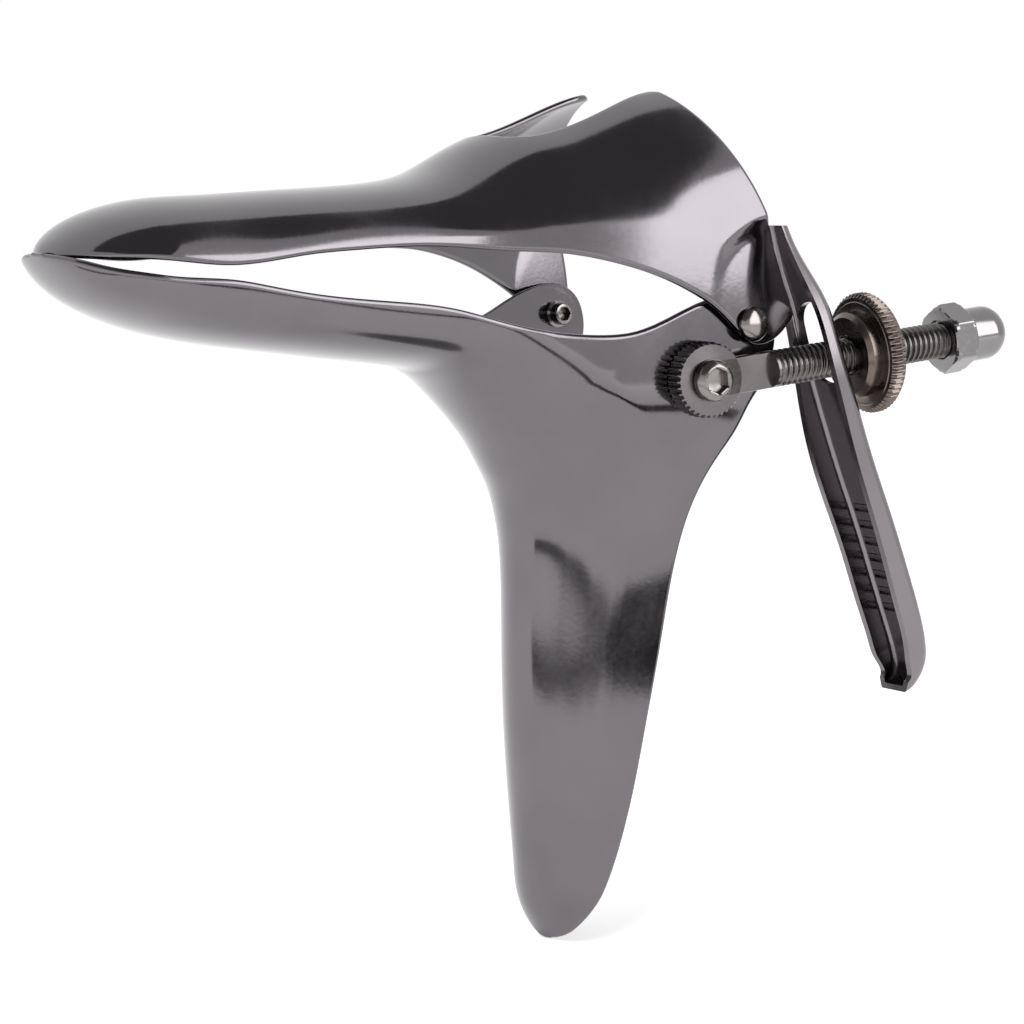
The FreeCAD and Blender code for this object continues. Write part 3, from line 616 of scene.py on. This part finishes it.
eye = turned("knurled_eye", eye_base, eye_axis, rod_axis, [
    (eye_bore, eye_low), (eye_radius - 0.55, eye_low), (eye_radius, eye_low + 0.45), (eye_radius, eye_high - 0.4),
    (eye_radius - 0.4, eye_high), (eye_bore, eye_high)], 432, straight_teeth(eye_radius, tooth_depth, eye_teeth))
rod_steel = steel("dark_rod_steel", (0.15, 0.14, 0.138), 0.14, 0.3, 1500.0, 0.06)
eye_steel = steel("dark_eye_steel", (0.15, 0.138, 0.142), 0.1, 0.26, 1500.0, 0.05)
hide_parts("threaded_rod")
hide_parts("threaded_rod")
for piece, finish in ((rod, rod_steel), (eye, eye_steel)):
    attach(piece, "threaded_rod")
    piece.data.materials.append(finish)

# Eye screw
# Low round head with a hexagon socket, about which the rod swings. A round nut holds it inside
# the wall.
eye_screw_seat, eye_screw_key = 4.23, 3.6
eye_screw = turned("eye_screw_head", eye_base + eye_screw_seat * eye_axis, eye_axis, rod_axis, [
    (2.0, -6.4), (2.0, 0.0), (3.12, 0.0), (3.3, 0.18), (3.3, 0.75), (3.22, 1.2), (3.02, 1.62), (2.72, 1.93),
    (2.4, 2.12), (2.2, 2.18), (2.08, 2.12, "key"), (1.98, 2.0, "key"), (1.98, 0.62, "key"), (0.9, 0.5)],
    216, None, lambda turn: six_flats(eye_screw_key)(turn) / 1.98)
screw_steel = steel("dark_screw_steel", (0.22, 0.205, 0.2), 0.1, 0.22, 1600.0, 0.04)
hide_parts("eye_screw")
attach(eye_screw, "lower_valve")
eye_screw.data.materials.append(screw_steel)
bush = turned("eye_bush_ring", eye_base, eye_axis, rod_axis, [
    (2.02, -1.5), (3.3, -1.5), (3.5, -1.7), (3.5, -2.75), (3.2, -3.0), (2.02, -3.0)], 96)
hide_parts("eye_bush")
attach(bush, "lower_valve")
bush.data.materials.append(screw_steel)

# Hinge screws
# Outside each ear sits the domed head of a barrel, and inside the ear a flanged socket screw is
# turned into it.
ear, face, hinge_key = 27.48, 24.82, 2.3
for side, word in ((-1, "near"), (1, "far")):
    outwards, up = np.array([0.0, side, 0.0]), np.array([0.0, 0.0, 1.0])
    dome = [(1.5, ear - 2.4), (1.5, ear), (2.6, ear), (2.8, ear + 0.14), (2.8, ear + 0.42)]
    dome += [(2.8 * np.cos(q), ear + 0.42 + 1.3 * np.sin(q)) for q in np.linspace(0.12, 1.5, 12)]
    barrel = turned(word + "_barrel_dome", np.zeros(3), outwards, up, dome, 96, crisp=40)
    head = [(1.0, face + 2.4), (1.0, face), (2.25, face), (2.35, face - 0.12), (2.35, face - 0.55),
            (2.05, face - 0.72), (1.9, face - 0.8), (1.9, face - 1.95), (1.72, face - 2.3), (1.4, face - 2.4),
            (1.22, face - 2.38, "key"), (1.2, face - 2.3, "key"), (1.2, face - 1.1, "key"), (0.5, face - 1.0)]
    screw = turned(word + "_socket_screw", np.zeros(3), outwards, up, head, 144, None,
                   lambda turn: six_flats(hinge_key)(turn) / 1.2)
    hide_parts(word + "_hinge_barrel")
    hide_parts(word + "_hinge_screw")
    for piece in (barrel, screw):
        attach(piece, "lower_valve")
        piece.data.materials.append(screw_steel)

# Thumb nut
# A wheel with a fine straight knurl and a plain boss turned in one piece with it. Run along the
# rod it pushes the lever, and so opens the mouth.
nut_place, wheel_radius, wheel_teeth = 26.0, 9.75, 60
nut_origin = eye_base + nut_place * rod_axis + rod_out * eye_axis
nut = turned("thumb_nut_wheel", nut_origin, rod_axis, eye_axis, [
    (3.02, 0.35), (3.4, 0.0), (6.2, 0.0), (6.95, 0.7), (6.95, 2.35), (7.1, 2.4), (8.3, 2.4), (8.45, 2.52),
    (9.05, 2.55), (wheel_radius, 3.2), (wheel_radius, 4.5), (9.05, 5.25), (8.3, 5.3), (6.4, 5.12), (6.2, 5.3),
    (3.4, 5.3), (3.02, 5.0)], 720, straight_teeth(wheel_radius, 0.55, wheel_teeth))
nut_steel = steel("dark_nut_steel", (0.135, 0.113, 0.103), 0.1, 0.22, 1500.0, 0.05)
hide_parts("thumb_nut")
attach(nut, "thumb_nut")
nut.data.materials.append(nut_steel)

# Cap nut
# Hexagon with both ends chamfered and a high dome; it closes the end of the rod.
cap_place, across_flats, dome_radius, dome_start, dome_high = 44.2, 10.0, 4.4, 8.4, 3.76
cap_origin = eye_base + cap_place * rod_axis + rod_out * eye_axis
hexagon = turned("cap_nut_hexagon", cap_origin, rod_axis, eye_axis, [
    (3.0, 0.25), (3.3, 0.0), (4.9, 0.0), (5.35, 0.22), (5.7, 0.62), (5.76, 0.9), (5.76, 3.4), (5.7, 3.7),
    (5.35, 4.1), (4.95, 4.3), (4.3, 4.32)], 360, six_flats(across_flats), crisp=24)
crown = [(4.2, 4.1), (4.2, 4.45), (dome_radius, 4.6), (dome_radius, dome_start)]
crown += [(dome_radius * np.cos(q), dome_start + dome_high * np.sin(q)) for q in np.linspace(0.08, 1.52, 18)]
dome = turned("cap_nut_dome", cap_origin, rod_axis, eye_axis, crown, 120, crisp=40)
cap_steel = steel("bright_cap_steel", (0.22, 0.21, 0.215), 0.05, 0.14, 1600.0, 0.03)
for piece in (hexagon, dome):
    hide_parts("cap_nut")
    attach(piece, "threaded_rod")
    piece.data.materials.append(cap_steel)
